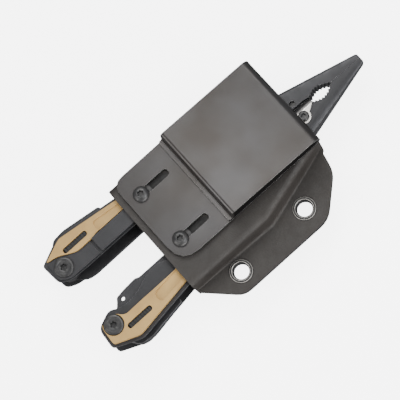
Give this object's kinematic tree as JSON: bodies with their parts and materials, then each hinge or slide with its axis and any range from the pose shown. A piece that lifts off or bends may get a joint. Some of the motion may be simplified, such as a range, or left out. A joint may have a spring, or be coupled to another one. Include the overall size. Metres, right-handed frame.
{
  "type": "multi tool in belt sheath",
  "caption": "Butterfly plier multi tool with folding blades and drivers, stowed nose-first in a folded sheet sheath with a sprung belt clip.",
  "frame": {"origin": "on the sheath's back face, under the plier pivot", "axes": "+X along the tool towards the jaw tips, +Y towards the sheath's folded edge, +Z out of the belt clip face"},
  "size_m": [0.1745, 0.0795, 0.036],
  "materials": {
    "sheath": "pebbled thermoformed sheet, satin",
    "clip": "satin grey oxide on spring steel",
    "screw": "black oxide, semi-matt",
    "eyelet": "black enamelled brass, glossy",
    "oxide": "black oxide on steel, satin",
    "cutter": "ground bright steel",
    "scale": "tan glass-fibre laminate, machined matt",
    "bar": "black moulded nylon, ribbed"
  },
  "bodies": {
    "sheath": {"sheath_shell": "sheath", "eyelet_mouth": "eyelet", "eyelet_nose": "eyelet", "clip_washer_upper": "screw", "clip_washer_lower": "screw", "clip_nut_upper": "screw", "clip_nut_lower": "screw", "clip_screw_upper": "screw", "clip_screw_lower": "screw"},
    "clip": {"belt_clip": "clip"},
    "plier_pivot": {"pivot_bolt": "screw", "pivot_nut": "screw"},
    "jaw_a": {"jaw_upper": "oxide", "cutter_upper": "cutter", "cutter_screw_upper": "screw"},
    "jaw_b": {"jaw_lower": "oxide", "cutter_lower": "cutter", "cutter_screw_lower": "screw"},
    "handle_a": {"liner_front_upper": "oxide", "liner_back_upper": "oxide", "scale_front_upper": "scale", "scale_back_upper": "scale", "grip_bar_front_upper": "bar", "grip_bar_back_upper": "bar", "spacer_upper": "oxide", "tool_bolt_upper": "screw", "tool_nut_upper": "screw", "fold_bolt_upper": "screw", "fold_nut_upper": "screw", "tool_washer_upper": "screw", "pocket_clip": "oxide"},
    "handle_b": {"liner_front_lower": "oxide", "liner_back_lower": "oxide", "scale_front_lower": "scale", "scale_back_lower": "scale", "grip_bar_front_lower": "bar", "grip_bar_back_lower": "bar", "spacer_lower": "oxide", "tool_bolt_lower": "screw", "tool_nut_lower": "screw", "fold_bolt_lower": "screw", "fold_nut_lower": "screw", "tool_washer_lower": "screw"},
    "knife": {"knife_blade": "oxide"},
    "saw": {"saw_blade": "oxide"},
    "opener": {"bottle_opener": "oxide"},
    "driver": {"flat_driver": "oxide"},
    "awl": {"awl": "oxide"},
    "cross": {"cross_driver": "oxide"}
  },
  "joints": [
    {"name": "tool_draw", "type": "slide", "parent": "sheath", "child": "plier_pivot", "axis": [-1, 0, 0], "range_m": [0, 0.135]},
    {"name": "clip_adjust", "type": "slide", "parent": "sheath", "child": "clip", "axis": [-1, 0, 0], "range_m": [0, 0.0146]},
    {"name": "jaw_upper_open", "type": "hinge", "parent": "plier_pivot", "child": "jaw_a", "pos_m": [0, 0, 0.0127], "axis": [0, 0, 1], "range_deg": [0, 0.7]},
    {"name": "jaw_lower_open", "type": "hinge", "parent": "plier_pivot", "child": "jaw_b", "pos_m": [0, 0, 0.0127], "axis": [0, 0, 1], "range_deg": [-0.7, 0]},
    {"name": "fold_upper", "type": "hinge", "parent": "jaw_b", "child": "handle_a", "pos_m": [-0.018, 0.011, 0.0127], "axis": [0, 0, -1], "range_deg": [0, 1]},
    {"name": "fold_lower", "type": "hinge", "parent": "jaw_a", "child": "handle_b", "pos_m": [-0.018, -0.011, 0.0127], "axis": [0, 0, 1], "range_deg": [0, 1]},
    {"name": "saw_open", "type": "hinge", "parent": "handle_a", "child": "saw", "pos_m": [-0.115, 0.0182, 0.0127], "axis": [0, 0, -1], "range_deg": [0, 15]},
    {"name": "opener_open", "type": "hinge", "parent": "handle_a", "child": "opener", "pos_m": [-0.115, 0.0182, 0.0127], "axis": [0, 0, 1], "range_deg": [0, 170]},
    {"name": "driver_open", "type": "hinge", "parent": "handle_a", "child": "driver", "pos_m": [-0.115, 0.0182, 0.0127], "axis": [0, 0, 1], "range_deg": [0, 170]},
    {"name": "knife_open", "type": "hinge", "parent": "handle_b", "child": "knife", "pos_m": [-0.115, -0.0182, 0.0127], "axis": [0, 0, 1], "range_deg": [0, 15]},
    {"name": "awl_open", "type": "hinge", "parent": "handle_b", "child": "awl", "pos_m": [-0.115, -0.0182, 0.0127], "axis": [0, 0, -1], "range_deg": [0, 170]},
    {"name": "cross_open", "type": "hinge", "parent": "handle_b", "child": "cross", "pos_m": [-0.115, -0.0182, 0.0127], "axis": [0, 0, -1], "range_deg": [0, 170]}
  ],
  "couplings": [
    {"joint": "jaw_lower_open", "follows": "jaw_upper_open", "ratio": -1}
  ]
}
